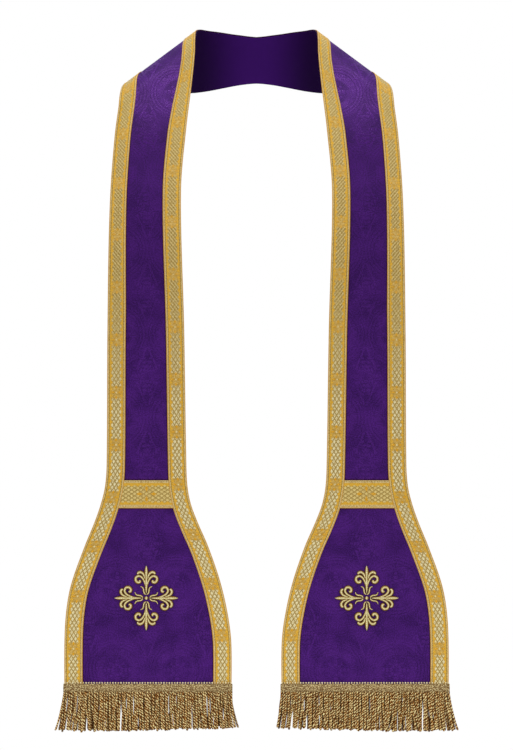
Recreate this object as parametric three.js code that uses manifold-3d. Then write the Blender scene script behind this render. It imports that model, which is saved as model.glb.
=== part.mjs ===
// A priest's roman stole, as worn: two bands hang from the shoulders, pass over them and meet in a
// seam at the nape. Each band widens below a cross braid into a spade-shaped end with a bullion fringe.
//
// Frame: millimetres, +Z up, +X to the viewer's right, the front faces -Y. The origin lies in the
// middle plane, level with the tops of the shoulders beside the neck.
//
// Every piece is cut flat first. A point of the cut has a distance across from the middle plane and a
// height above the hem. layCloth() carries it to its place: it bends the flat cloth over the chest, the
// collarbone, the shoulder ridge and the nape, one cylinder each, so the cloth never stretches.

import * as THREE from 'three';
import Module from 'manifold-3d';
import { mergeVertices } from 'three/addons/utils/BufferGeometryUtils.js';

const wasm = await Module();
wasm.setup();

// ---------------------------------------------------------------- driving dimensions, mm and degrees

const FRONT_Y = -120;             // the hanging fronts lie this far before the shoulder ridge
const HEM_Z = -874;               // the hem of both ends
const SEAM_GAP = 0.3;             // between neighbouring pieces

const LINING_WALL = 1.0;
const DAMASK_WALL = 1.2;          // damask with its stiffening
const BRAID_WALL = 1.0;
const CROSS_WALL = 1.1;
const HEADING_WALL = 2.4;         // the woven head of the fringe

const BRAID_WIDTH = 22;           // along both edges of each band
const WIDE_BRAID = { bottom: 242, top: 279 };   // across the band, where the end begins to widen
const LINING_INSET = 1.5;         // the lining is felled a little inside the edge

const HEADING = { bottom: -2, top: 14.5, overhang: 1.3 };
const STRANDS = 80;               // on each end
const STRAND_RADIUS = 1.1;
const STRAND_ROOT = 3;            // height of the roots, inside the heading
const STRAND_TIP = -49;           // height of the tips, below the hem
const STRAND_SPLAY = 0.035;       // the tips spread by this share of their distance from the middle

const CROSS = { across: 143.2, height: 125.1, reach: 42, centre: 5.2 };

// The edge towards the neck: how far across it lies at each height along the cloth.
const INNER_EDGE = [
  { height: 0, across: 32.5 },
  { height: 66, across: 32.7 },
  { height: 100, across: 36.6 },
  { height: 144, across: 46.4 },
  { height: 191, across: 62.3 },
  { height: 224, across: 76.6 },
  { height: 247, across: 85.2 },
  { height: 270, across: 89.7 },
  { height: 300, across: 91.2 },
  { height: 475, across: 94.0 },
  { height: 655, across: 98.4 },
  { height: 742, across: 92.0 },
  { height: 800, across: 86.0 },
  { height: 850, across: 81.8 },
  { height: 885, across: 80.8 },
  { height: 915, across: 82.8 },
  { height: 948, across: 82.4 },
  { height: 977, across: 79.6 },
  { height: 998, across: 73.2 },
  { height: 1009, across: 67.0 },
];

// The edge towards the shoulder and, behind it, the lower edge across the back.
const OUTER_EDGE = [
  { height: 0, across: 249.6 },
  { height: 72, across: 249.4 },
  { height: 110, across: 247.0 },
  { height: 144, across: 240.6 },
  { height: 191, across: 223.9 },
  { height: 224, across: 210.4 },
  { height: 247, across: 202.4 },
  { height: 270, across: 196.8 },
  { height: 300, across: 194.6 },
  { height: 475, across: 193.6 },
  { height: 640, across: 190.8 },
  { height: 730, across: 185.6 },
  { height: 785, across: 179.8 },
  { height: 820, across: 177.8 },
  { height: 890, across: 179.2 },
  { height: 960, across: 179.4 },
  { height: 1002, across: 171.2 },
  { height: 1028, across: 162.0 },
  { height: 1047, across: 149.4 },
  { height: 1063, across: 135.0 },
];

// The bends of the lower cloth, about level lines.
const CHEST = { height: 550, radius: 420, angle: 16 };
const COLLARBONE = { height: 706, radius: 500, angle: 8 };

// The bend over the shoulder, about a line that falls outwards from the middle plane.
const RIDGE = { height: 926.4, fall: 40.4, radius: 30, angle: 103 };

// The bend round the nape starts on the inner edge. Its line and its angle follow from the others.
const NAPE = { across: 81, height: 942, flatHalf: 5 };

// Soft waves of the hanging fronts. Each is a depth, its lengths along and across, and a phase.
const WAVES = [
  { depth: 1.3, along: 430, across: 900, phase: 0.4 },
  { depth: 0.8, along: 250, across: -700, phase: 1.9 },
];
const WAVES_FADE = { from: 330, to: 540 };

// ---------------------------------------------------------------- laying the flat cut on the wearer

const radians = (degrees) => degrees * Math.PI / 180;
const dot = (a, b) => a.x * b.x + a.y * b.y;

// One cylindrical bend of the flat cloth. The line runs through start along the unit vector along;
// the cloth past it, towards ahead, turns backwards by angle radians at this radius.
class Bend {
  constructor(start, slope, radius, angle) {
    this.start = start;
    this.along = new THREE.Vector2(Math.cos(slope), Math.sin(slope));
    this.ahead = new THREE.Vector2(-Math.sin(slope), Math.cos(slope));
    this.radius = radius;
    this.angle = angle;
    this.length = radius * angle;
  }

  // Moves a point and its normal, which lie where the farther bends have put them.
  apply(flat, point, normal) {
    const past = dot(flat.clone().sub(this.start), this.ahead);
    if (past <= 0) {
      return;
    }
    const line = new THREE.Vector3(this.along.x, 0, this.along.y);
    const ahead = new THREE.Vector3(this.ahead.x, 0, this.ahead.y);
    const outward = new THREE.Vector3(0, -1, 0);
    const origin = new THREE.Vector3(this.start.x, 0, this.start.y);
    const turn = Math.min(past / this.radius, this.angle);
    const [cos, sin] = [Math.cos(turn), Math.sin(turn)];
    const aheadNow = ahead.clone().multiplyScalar(cos).addScaledVector(outward, -sin);
    const outwardNow = ahead.clone().multiplyScalar(sin).addScaledVector(outward, cos);
    const offset = point.clone().sub(origin);
    const beyond = past >= this.length ? offset.dot(ahead) - this.length : 0;
    const alongLine = offset.dot(line);
    const lifted = offset.dot(outward);
    point.copy(origin);
    point.addScaledVector(line, alongLine);
    point.addScaledVector(ahead, this.radius * sin);
    point.addScaledVector(outward, -this.radius * (1 - cos));
    point.addScaledVector(aheadNow, beyond);
    point.addScaledVector(outwardNow, lifted);
    const parts = [normal.dot(line), normal.dot(ahead), normal.dot(outward)];
    normal.set(0, 0, 0);
    normal.addScaledVector(line, parts[0]);
    normal.addScaledVector(aheadNow, parts[1]);
    normal.addScaledVector(outwardNow, parts[2]);
  }
}

const levelBend = (size) => new Bend(
  new THREE.Vector2(0, size.height), 0, size.radius, radians(size.angle));

const chest = levelBend(CHEST);
const collarbone = levelBend(COLLARBONE);
const ridge = new Bend(
  new THREE.Vector2(0, RIDGE.height), -radians(RIDGE.fall), RIDGE.radius, radians(RIDGE.angle));

// The bends in the order in which they are applied, the farthest from the hem first.
const bends = [ridge, collarbone, chest];

function bentPoint(flat) {
  const point = new THREE.Vector3(flat.x, 0, flat.y);
  const normal = new THREE.Vector3(0, -1, 0);
  for (const bend of bends) {
    bend.apply(flat, point, normal);
  }
  return { point, normal };
}

// Behind the shoulder the cloth is flat again. The nape's line is the direction in that plane that
// stays at one distance from the middle plane, so that both halves meet it square.
function napeBend() {
  const start = new THREE.Vector2(NAPE.across, NAPE.height);
  const here = bentPoint(start);
  const alongX = bentPoint(start.clone().add(ridge.along)).point.x - here.point.x;
  const aheadX = bentPoint(start.clone().add(ridge.ahead)).point.x - here.point.x;
  const direction = ridge.ahead.clone().addScaledVector(ridge.along, -aheadX / alongX);
  const angle = Math.asin(here.normal.x);
  const radius = (here.point.x - NAPE.flatHalf) / Math.sin(angle);
  return new Bend(start, direction.angle(), radius, angle);
}

const nape = napeBend();
bends.unshift(nape);

function waveDepth(across, height) {
  const fade = 1 - THREE.MathUtils.smoothstep(height, WAVES_FADE.from, WAVES_FADE.to);
  let depth = 0;
  for (const wave of WAVES) {
    const turns = height / wave.along + across / wave.across;
    depth += wave.depth * Math.sin(2 * Math.PI * turns + wave.phase);
  }
  return depth * fade;
}

// A point of the flat cut at its place on the wearer's +X side, lifted off the cloth's inside.
function layCloth(across, height, lift) {
  const { point, normal } = bentPoint(new THREE.Vector2(across, height));
  point.addScaledVector(normal, lift + waveDepth(across, height));
  return new THREE.Vector3(point.x, point.y + FRONT_Y, point.z + HEM_Z);
}

// ---------------------------------------------------------------- the cut: edges, rows and insets

// The edge's distance across at a height: a smooth curve through the rows, straight past its ends.
function edgeAcross(edge, height) {
  const last = edge.length - 1;
  const slopeAt = (i) => {
    const before = edge[Math.max(i - 1, 0)];
    const after = edge[Math.min(i + 1, last)];
    return (after.across - before.across) / (after.height - before.height);
  };
  if (height <= edge[0].height) {
    return edge[0].across + slopeAt(0) * (height - edge[0].height);
  }
  if (height >= edge[last].height) {
    return edge[last].across + slopeAt(last) * (height - edge[last].height);
  }
  const i = edge.findIndex((row) => row.height > height) - 1;
  const span = edge[i + 1].height - edge[i].height;
  const t = (height - edge[i].height) / span;
  const from = edge[i].across * (1 + 2 * t) * (1 - t) ** 2 + slopeAt(i) * span * t * (1 - t) ** 2;
  const to = edge[i + 1].across * t * t * (3 - 2 * t) - slopeAt(i + 1) * span * t * t * (1 - t);
  return from + to;
}

// The point of an edge at a height, moved inset mm square to the edge. side is +1 to move outwards.
function insetPoint(edge, height, inset, side) {
  const step = 0.5;
  const rise = (edgeAcross(edge, height + step) - edgeAcross(edge, height - step)) / (2 * step);
  const normal = new THREE.Vector2(1, -rise).normalize();
  return new THREE.Vector2(edgeAcross(edge, height), height).addScaledVector(normal, inset * side);
}

// Where a straight line of the cut crosses an edge, or the edge moved by inset. The crossing lies
// within SEARCH mm of the height around, and is found by halving that range.
const SEARCH = 90;
const HALVINGS = 50;

function crossing(line, edge, around, inset = 0, side = 1) {
  const square = new THREE.Vector2(-line.direction.y, line.direction.x);
  const signed = (height) => dot(insetPoint(edge, height, inset, side).sub(line.point), square);
  let low = around - SEARCH;
  let high = around + SEARCH;
  for (let i = 0; i < HALVINGS; i += 1) {
    const middle = (low + high) / 2;
    if (signed(middle) > 0) {
      high = middle;
    } else {
      low = middle;
    }
  }
  return insetPoint(edge, (low + high) / 2, inset, side);
}

const levelLine = (height) => ({
  point: new THREE.Vector2(0, height), direction: new THREE.Vector2(1, 0) });

const bendLine = (bend, past) => ({
  point: bend.start.clone().addScaledVector(bend.ahead, past), direction: bend.along });

// A row is a straight line of the cut from the inner edge to the outer one. The edges' usual
// distances across say where along the line to look for them.
const USUAL = { inner: 85, outer: 180 };

function rowOn(line) {
  const level = (across) => line.point.y
    + (across - line.point.x) * line.direction.y / line.direction.x;
  return {
    inner: crossing(line, INNER_EDGE, level(USUAL.inner)),
    outer: crossing(line, OUTER_EDGE, level(USUAL.outer)),
  };
}

// Rows fan out between two others, with their ends on the edges.
function fan(from, to, steps) {
  const rows = [];
  for (let i = 1; i < steps; i += 1) {
    const innerHeight = from.inner.y + (to.inner.y - from.inner.y) * i / steps;
    const outerHeight = from.outer.y + (to.outer.y - from.outer.y) * i / steps;
    rows.push({
      inner: new THREE.Vector2(edgeAcross(INNER_EDGE, innerHeight), innerHeight),
      outer: new THREE.Vector2(edgeAcross(OUTER_EDGE, outerHeight), outerHeight),
    });
  }
  return rows;
}

function levelRows(from, to, steps) {
  const rows = [];
  for (let i = 0; i < steps; i += 1) {
    rows.push(rowOn(levelLine(from + (to - from) * i / steps)));
  }
  return rows;
}

function bendRows(bend, steps) {
  const rows = [];
  for (let i = 0; i <= steps; i += 1) {
    rows.push(rowOn(bendLine(bend, bend.length * i / steps)));
  }
  return rows;
}

// All rows of one half, from the hem to the seam at the nape. Every layer uses the same ones, so the
// layers stay parallel over each bend.
function bandRows() {
  const spade = [...levelRows(0, 66, 2), ...levelRows(66, 300, 13)];
  const hanging = levelRows(300, CHEST.height, 5);
  const overChest = levelRows(CHEST.height, CHEST.height + chest.length, 4);
  const upperChest = levelRows(CHEST.height + chest.length, COLLARBONE.height, 1);
  const overCollarbone = levelRows(COLLARBONE.height, COLLARBONE.height + collarbone.length, 2);
  const ridgeRows = bendRows(ridge, 10);
  const napeRows = bendRows(nape, 5);
  const shoulderFoot = rowOn(levelLine(COLLARBONE.height + collarbone.length));
  const seam = rowOn(bendLine(nape, nape.length + NAPE.flatHalf - SEAM_GAP / 2));
  return [
    ...spade, ...hanging, ...overChest, ...upperChest, ...overCollarbone,
    shoulderFoot, ...fan(shoulderFoot, ridgeRows[0], 3), ...ridgeRows,
    ...fan(ridgeRows[10], napeRows[0], 5), ...napeRows, seam,
  ];
}

const rows = bandRows();

const rowLine = (row) => ({
  point: row.inner, direction: row.outer.clone().sub(row.inner).normalize() });

// A point on a row, inset mm inside the inner or the outer edge.
const fromInner = (inset) => (row) => crossing(rowLine(row), INNER_EDGE, row.inner.y, inset, 1);
const fromOuter = (inset) => (row) => crossing(rowLine(row), OUTER_EDGE, row.outer.y, inset, -1);

// ---------------------------------------------------------------- solids

// A closed wall on a grid of flat points, between two lifts off the cloth's inside.
function wallGeometry(grid, low, high) {
  const tall = grid.length;
  const wide = grid[0].length;
  const positions = [];
  for (const lift of [low, high]) {
    for (const line of grid) {
      for (const flat of line) {
        positions.push(...layCloth(flat.x, flat.y, lift).toArray());
      }
    }
  }
  const at = (layer, i, j) => (layer * tall + i) * wide + j;
  const index = [];
  const quad = (a, b, c, d) => index.push(a, b, c, a, c, d);
  for (let i = 0; i < tall - 1; i += 1) {
    for (let j = 0; j < wide - 1; j += 1) {
      quad(at(1, i, j), at(1, i, j + 1), at(1, i + 1, j + 1), at(1, i + 1, j));
      quad(at(0, i, j), at(0, i + 1, j), at(0, i + 1, j + 1), at(0, i, j + 1));
    }
  }
  for (let i = 0; i < tall - 1; i += 1) {
    quad(at(0, i, 0), at(1, i, 0), at(1, i + 1, 0), at(0, i + 1, 0));
    quad(at(0, i, wide - 1), at(0, i + 1, wide - 1), at(1, i + 1, wide - 1), at(1, i, wide - 1));
  }
  for (let j = 0; j < wide - 1; j += 1) {
    quad(at(0, 0, j), at(0, 0, j + 1), at(1, 0, j + 1), at(1, 0, j));
    quad(at(0, tall - 1, j), at(1, tall - 1, j), at(1, tall - 1, j + 1), at(0, tall - 1, j + 1));
  }
  const geometry = new THREE.BufferGeometry();
  geometry.setAttribute('position', new THREE.Float32BufferAttribute(positions, 3));
  geometry.setIndex(index);
  return geometry;
}

// A grid of flat points between two lines that run along the rows.
function stripGrid(stripRows, fromLine, toLine, columns) {
  return stripRows.map((row) => {
    const from = fromLine(row);
    const to = toLine(row);
    const line = [];
    for (let j = 0; j <= columns; j += 1) {
      line.push(from.clone().lerp(to, j / columns));
    }
    return line;
  });
}

function toManifold(geometry) {
  geometry.deleteAttribute('normal');
  geometry.deleteAttribute('uv');
  const merged = mergeVertices(geometry);
  return new wasm.Manifold(new wasm.Mesh({
    numProp: 3,
    vertProperties: Float32Array.from(merged.attributes.position.array),
    triVerts: Uint32Array.from(merged.index.array),
  }));
}

// Back from a solid in flat coordinates (across, height, lift) to a laid geometry.
function laidGeometry(solid) {
  const mesh = solid.getMesh();
  const positions = [];
  for (let i = 0; i < mesh.vertProperties.length; i += mesh.numProp) {
    const [across, height, lift] = mesh.vertProperties.slice(i, i + 3);
    positions.push(...layCloth(across, height, lift).toArray());
  }
  const geometry = new THREE.BufferGeometry();
  geometry.setAttribute('position', new THREE.Float32BufferAttribute(positions, 3));
  geometry.setIndex(Array.from(mesh.triVerts));
  return geometry;
}

// ---------------------------------------------------------------- the layers of a band

const LIFT = { lining: 0 };
LIFT.damask = LIFT.lining + LINING_WALL + SEAM_GAP;
LIFT.trim = LIFT.damask + DAMASK_WALL + SEAM_GAP;
LIFT.heading = LIFT.trim + BRAID_WALL + SEAM_GAP;

function liningGeometry() {
  const grid = stripGrid(rows, fromInner(LINING_INSET), fromOuter(LINING_INSET), 2);
  return wallGeometry(grid, LIFT.lining, LIFT.lining + LINING_WALL);
}

function damaskGeometry() {
  const grid = stripGrid(rows, fromInner(0), fromOuter(0), 4);
  return wallGeometry(grid, LIFT.damask, LIFT.damask + DAMASK_WALL);
}

function innerBraidGeometry() {
  const grid = stripGrid(rows, fromInner(0), fromInner(BRAID_WIDTH), 1);
  return wallGeometry(grid, LIFT.trim, LIFT.trim + BRAID_WALL);
}

function outerBraidGeometry() {
  const grid = stripGrid(rows, fromOuter(BRAID_WIDTH), fromOuter(0), 1);
  return wallGeometry(grid, LIFT.trim, LIFT.trim + BRAID_WALL);
}

// The wide braid fills the band between the two side braids.
function wideBraidGeometry() {
  const ends = BRAID_WIDTH + SEAM_GAP;
  const steps = 3;
  const braidRows = levelRows(WIDE_BRAID.bottom, WIDE_BRAID.top, steps);
  braidRows.push(rowOn(levelLine(WIDE_BRAID.top)));
  const grid = stripGrid(braidRows, fromInner(ends), fromOuter(ends), 4);
  return wallGeometry(grid, LIFT.trim, LIFT.trim + BRAID_WALL);
}

// ---------------------------------------------------------------- the fringe

// One strand in flat coordinates: three sides, from inside the heading to its tip.
function strandSolid(place, number, from, to) {
  const middle = (from + to) / 2;
  const lift = LIFT.heading + HEADING_WALL / 2;
  const lengthChange = 1.2 * Math.sin(number * 2.4) + 0.8 * Math.sin(number * 5.1);
  const sway = 0.18 * Math.sin(number * 1.7);
  const tip = place + (place - middle) * STRAND_SPLAY;
  const spine = [
    { across: place, height: STRAND_ROOT },
    { across: (place + tip) / 2 + sway, height: (STRAND_ROOT + STRAND_TIP) / 2 },
    { across: tip, height: STRAND_TIP + lengthChange },
  ];
  const positions = [];
  for (const stop of spine) {
    for (let k = 0; k < 3; k += 1) {
      const turn = 2 * Math.PI * k / 3 + Math.PI / 2;
      positions.push(
        stop.across + STRAND_RADIUS * Math.cos(turn), stop.height,
        lift + STRAND_RADIUS * Math.sin(turn));
    }
  }
  const index = [0, 2, 1];
  for (let i = 0; i < spine.length - 1; i += 1) {
    for (let k = 0; k < 3; k += 1) {
      const a = i * 3 + k;
      const b = i * 3 + (k + 1) % 3;
      index.push(a, b, b + 3, a, b + 3, a + 3);
    }
  }
  const end = (spine.length - 1) * 3;
  index.push(end, end + 1, end + 2);
  const geometry = new THREE.BufferGeometry();
  geometry.setAttribute('position', new THREE.Float32BufferAttribute(positions, 3));
  geometry.setIndex(index);
  return toManifold(geometry);
}

// The heading lies on the foot of the band and the strands hang from it.
function fringeGeometry() {
  const from = edgeAcross(INNER_EDGE, 0) - HEADING.overhang;
  const to = edgeAcross(OUTER_EDGE, 0) + HEADING.overhang;
  const tall = HEADING.top - HEADING.bottom;
  const heading = new THREE.BoxGeometry(to - from, tall, HEADING_WALL, 6, 1, 1);
  heading.translate(
    (from + to) / 2, (HEADING.top + HEADING.bottom) / 2, LIFT.heading + HEADING_WALL / 2);
  let solid = toManifold(heading);
  const pitch = (to - from) / STRANDS;
  for (let i = 0; i < STRANDS; i += 1) {
    solid = solid.add(strandSolid(from + pitch * (i + 0.5), i, from, to));
  }
  return laidGeometry(solid);
}

// ---------------------------------------------------------------- the embroidered cross

// The leaves of one arm, which points up from the cross's middle. Each follows a smooth spine through
// these places, and has its width at the foot, the middle and the tip. All are shares of the reach.
const ARM_LEAVES = [
  {
    name: 'stem', steps: 3, widths: [0.05, 0.09, 0.14],
    spine: [[0, 0.03], [0, 0.3], [0, 0.62]],
  },
  {
    name: 'spear', steps: 4, widths: [0.06, 0.12, 0.01],
    spine: [[0, 0.58], [0, 0.78], [0, 1.0]],
  },
  {
    name: 'scroll', steps: 7, widths: [0.05, 0.085, 0.09],
    spine: [[0.02, 0.3], [0.08, 0.5], [0.22, 0.665], [0.37, 0.6], [0.35, 0.47], [0.21, 0.5]],
  },
  {
    name: 'leaf', steps: 4, widths: [0.04, 0.095, 0.02],
    spine: [[0.02, 0.56], [0.13, 0.77], [0.31, 0.73]],
  },
  {
    name: 'root', steps: 4, widths: [0.05, 0.055, 0.03],
    spine: [[0.0, 0.07], [0.085, 0.17], [0.1, 0.3], [0.2, 0.36]],
  },
];

// The outline of a leaf as a shape in the cross's plane, mirrored where side is -1.
function leafShape(leaf, side) {
  const places = leaf.spine.map(([x, y]) => new THREE.Vector2(x * side, y).multiplyScalar(CROSS.reach));
  const spine = new THREE.SplineCurve(places);
  const [foot, middle, tip] = leaf.widths;
  const left = [];
  const right = [];
  for (let i = 0; i <= leaf.steps; i += 1) {
    const t = i / leaf.steps;
    const ends = foot * (1 - t) ** 2 + tip * t ** 2;
    const width = ends + 2 * t * (1 - t) * (2 * middle - (foot + tip) / 2);
    const tangent = spine.getTangent(t);
    const normal = new THREE.Vector2(-tangent.y, tangent.x);
    left.push(spine.getPoint(t).addScaledVector(normal, width * CROSS.reach / 2));
    right.push(spine.getPoint(t).addScaledVector(normal, -width * CROSS.reach / 2));
  }
  return new THREE.Shape([...right, ...left.reverse()]);
}

function crossGeometry() {
  const thick = { depth: CROSS_WALL, bevelEnabled: false };
  const centre = new THREE.CylinderGeometry(CROSS.centre, CROSS.centre, CROSS_WALL, 4);
  centre.rotateX(Math.PI / 2);
  centre.translate(0, 0, CROSS_WALL / 2);
  let solid = toManifold(centre);
  for (let arm = 0; arm < 4; arm += 1) {
    for (const leaf of ARM_LEAVES) {
      const onAxis = leaf.spine.every(([x]) => x === 0);
      const sides = onAxis ? [1] : [1, -1];
      for (const side of sides) {
        const geometry = new THREE.ExtrudeGeometry(leafShape(leaf, side), thick);
        geometry.rotateZ(arm * Math.PI / 2);
        solid = solid.add(toManifold(geometry));
      }
    }
  }
  return laidGeometry(solid.translate([CROSS.across, CROSS.height, LIFT.trim]));
}

// ---------------------------------------------------------------- the stole

const material = (color, roughness, metalness) => new THREE.MeshStandardMaterial({
  color, roughness, metalness });

const FINISH = {
  damask: material(0x40205f, 0.6, 0),
  lining: material(0x2f1051, 0.4, 0),
  braid: material(0xbea055, 0.45, 0.35),
  embroidery: material(0xc8b985, 0.5, 0.3),
  fringe: material(0x8c7249, 0.5, 0.4),
};

const PIECES = [
  { name: 'lining', make: liningGeometry, finish: FINISH.lining },
  { name: 'damask', make: damaskGeometry, finish: FINISH.damask },
  { name: 'inner_braid', make: innerBraidGeometry, finish: FINISH.braid },
  { name: 'outer_braid', make: outerBraidGeometry, finish: FINISH.braid },
  { name: 'wide_braid', make: wideBraidGeometry, finish: FINISH.braid },
  { name: 'cross', make: crossGeometry, finish: FINISH.embroidery },
  { name: 'fringe', make: fringeGeometry, finish: FINISH.fringe },
];

// The other half is the same cut turned over, so its faces are turned back to point outwards.
function mirrored(geometry) {
  const copy = geometry.clone();
  copy.scale(-1, 1, 1);
  const index = copy.index.array;
  for (let i = 0; i < index.length; i += 3) {
    [index[i + 1], index[i + 2]] = [index[i + 2], index[i + 1]];
  }
  return copy;
}

const stole = new THREE.Group();
for (const piece of PIECES) {
  const right = piece.make();
  const left = mirrored(right);
  for (const [side, geometry] of [['left', left], ['right', right]]) {
    geometry.computeVertexNormals();
    const mesh = new THREE.Mesh(geometry, piece.finish);
    mesh.name = `${piece.name}_${side}`;
    stole.add(mesh);
  }
}

export default stole;
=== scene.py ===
# %% [markdown]
# # A roman stole, dressed for the camera
# The stole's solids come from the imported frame: two bands that hang from the shoulders and meet at
# the nape. This lesson covers each plain solid with the cloth, braid, embroidery and fringe that a
# vestment maker would sew. Every piece is laid on the same flat cut as the solids, bent over the
# same shoulder, so that it fits them with nothing moved.

# %% Load the frame
import bpy
import bmesh
import math
import numpy as np
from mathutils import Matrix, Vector


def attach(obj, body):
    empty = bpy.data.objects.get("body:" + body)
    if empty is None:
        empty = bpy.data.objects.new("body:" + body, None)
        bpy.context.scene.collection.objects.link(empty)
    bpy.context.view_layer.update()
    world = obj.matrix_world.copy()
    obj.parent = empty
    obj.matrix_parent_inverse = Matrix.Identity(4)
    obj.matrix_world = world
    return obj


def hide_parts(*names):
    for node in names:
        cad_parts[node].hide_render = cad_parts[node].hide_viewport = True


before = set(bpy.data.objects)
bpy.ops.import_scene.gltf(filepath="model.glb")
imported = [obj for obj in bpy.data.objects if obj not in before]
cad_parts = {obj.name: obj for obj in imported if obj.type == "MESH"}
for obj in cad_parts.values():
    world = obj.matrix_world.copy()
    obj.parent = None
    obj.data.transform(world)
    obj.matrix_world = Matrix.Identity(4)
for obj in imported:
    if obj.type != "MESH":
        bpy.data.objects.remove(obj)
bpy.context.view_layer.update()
BODY = "root"
MM = 0.001
print("nodes:", sorted(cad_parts))

# %% [markdown]
# ## The flat cut
# Cloth bends but hardly stretches. So each half is described flat, as it was cut, and then carried
# over the wearer by four cylindrical bends: chest, collarbone, shoulder ridge and nape. One could
# also sculpt the worn surface by hand, but then a woven pattern would swell and shrink on it. The
# edges are two smooth curves, given by how far across they lie at a few heights above the hem.

# %% Sizes of the cut, in millimetres
FRONT_Y = -120
HEM_Z = -874
SEAM_GAP = 0.3
LINING_WALL = 1.0
DAMASK_WALL = 1.2
BRAID_WALL = 0.8
HEADING_WALL = 2.4
BRAID_WIDTH = 23.6                # with its two woven rims
WIDE_BRAID = (242, 279)           # bottom and top
HEADING = (-2, 14.5)              # bottom and top
OVERHANG = 1.3                    # of the heading past the hem's corners
CROSS_PLACE = (143.2, 125.1)      # across, height
CROSS_REACH = 42
STRAND_TIP = -45                  # height of the fringe's tips

# height above the hem, distance across from the middle plane
INNER_EDGE = np.array([
    (0, 32.5), (66, 32.7), (100, 36.6), (144, 46.4), (191, 62.3), (224, 76.6), (247, 85.2),
    (270, 89.7), (300, 91.2), (475, 94.0), (655, 98.4), (742, 92.0), (800, 86.0), (850, 81.8),
    (885, 80.8), (915, 82.8), (948, 82.4), (977, 79.6), (998, 73.2), (1009, 67.0)])
OUTER_EDGE = np.array([
    (0, 249.6), (72, 249.4), (110, 247.0), (144, 240.6), (191, 223.9), (224, 210.4), (247, 202.4),
    (270, 196.8), (300, 194.6), (475, 193.6), (640, 190.8), (730, 185.6), (785, 179.8),
    (820, 177.8), (890, 179.2), (960, 179.4), (1002, 171.2), (1028, 162.0), (1047, 149.4),
    (1063, 135.0)])

# level bends: height, radius, angle in degrees
CHEST = (550, 420, 16)
COLLARBONE = (706, 500, 8)
# the shoulder's line: height at the middle plane, its fall in degrees, radius, angle in degrees
RIDGE = (926.4, 40.4, 30, 103)
# the nape's bend starts here, and ends this far short of the middle plane
NAPE_START = (81, 942)
NAPE_FLAT = 5

# soft waves of the hanging fronts: depth, length along, length across, phase
WAVES = [(1.3, 430, 900, 0.4), (0.8, 250, -700, 1.9)]
WAVES_FADE = (330, 540)

# how far each layer's underside lies from the bends
LIFT_DAMASK = LINING_WALL + SEAM_GAP
LIFT_TRIM = LIFT_DAMASK + DAMASK_WALL + 0.05
LIFT_HEADING = 4.1

# how wide the braids lie, by height on their edge: they are eased in where the cloth turns
NECK_BRAID = ([740, 785, 835, 870, 900, 950], [23.6, 21.5, 17.8, 16.2, 17, 21])
SHOULDER_BRAID = ([500, 640, 720], [23.6, 21.2, 20.6])


# %% Bends that carry the flat cloth to its place
class Bend:
    """Cloth past a line of the cut turns backwards over a cylinder."""

    def __init__(self, start, slope, radius, angle):
        self.start = np.array(start, float)
        self.along = np.array([math.cos(slope), math.sin(slope)])
        self.ahead = np.array([-math.sin(slope), math.cos(slope)])
        self.radius = radius
        self.angle = angle
        self.length = radius * angle

    def apply(self, flat, point, normal):
        line = np.array([self.along[0], 0, self.along[1]])
        ahead = np.array([self.ahead[0], 0, self.ahead[1]])
        outward = np.array([0, -1.0, 0])
        origin = np.array([self.start[0], 0, self.start[1]])
        past = (flat - self.start) @ self.ahead
        turn = np.clip(past / self.radius, 0, self.angle)[:, None]
        ahead_now = np.cos(turn) * ahead - np.sin(turn) * outward
        outward_now = np.sin(turn) * ahead + np.cos(turn) * outward
        offset = point - origin
        beyond = np.where(past >= self.length, offset @ ahead - self.length, 0)[:, None]
        moved = origin + (offset @ line)[:, None] * line
        moved += self.radius * (np.sin(turn) * ahead - (1 - np.cos(turn)) * outward)
        moved += beyond * ahead_now + (offset @ outward)[:, None] * outward_now
        turned = (normal @ line)[:, None] * line + (normal @ ahead)[:, None] * ahead_now
        turned += (normal @ outward)[:, None] * outward_now
        bent = (past > 0)[:, None]
        return np.where(bent, moved, point), np.where(bent, turned, normal)


def bent(flat, bends):
    """Flat points after these bends, with the direction that the cloth faces there."""
    point = np.stack([flat[:, 0], np.zeros(len(flat)), flat[:, 1]], axis=1)
    normal = np.tile([0, -1.0, 0], (len(flat), 1))
    for bend in bends:
        point, normal = bend.apply(flat, point, normal)
    return point, normal


def nape_bend(lower):
    """The nape's line keeps one distance from the middle plane, so both halves meet it square."""
    start = np.array(NAPE_START, float)
    ridge = lower[0]
    probe = np.array([start, start + ridge.along, start + ridge.ahead])
    point, normal = bent(probe, lower)
    along_x = point[1, 0] - point[0, 0]
    ahead_x = point[2, 0] - point[0, 0]
    direction = ridge.ahead - ridge.along * ahead_x / along_x
    angle = math.asin(normal[0, 0])
    radius = (point[0, 0] - NAPE_FLAT) / math.sin(angle)
    return Bend(start, math.atan2(direction[1], direction[0]), radius, angle)


chest = Bend((0, CHEST[0]), 0, CHEST[1], math.radians(CHEST[2]))
collarbone = Bend((0, COLLARBONE[0]), 0, COLLARBONE[1], math.radians(COLLARBONE[2]))
ridge = Bend((0, RIDGE[0]), -math.radians(RIDGE[1]), RIDGE[2], math.radians(RIDGE[3]))
nape = nape_bend([ridge, collarbone, chest])
BENDS = [nape, ridge, collarbone, chest]


def wave_depth(flat):
    """How far the soft waves stand out. They fade towards the shoulder."""
    low, high = WAVES_FADE
    t = np.clip((flat[:, 1] - low) / (high - low), 0, 1)
    depth = np.zeros(len(flat))
    for size, along, across, phase in WAVES:
        depth += size * np.sin(2 * np.pi * (flat[:, 1] / along + flat[:, 0] / across) + phase)
    return depth * (1 - t * t * (3 - 2 * t))


def lay(flat, lift, side):
    """Flat points, in millimetres, at their place on the wearer, in metres. side is -1 for left."""
    point, normal = bent(flat, BENDS)
    point = point + normal * (lift + wave_depth(flat))[:, None]
    point += (0, FRONT_Y, HEM_Z)
    point[:, 0] *= side
    return point * MM


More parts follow.
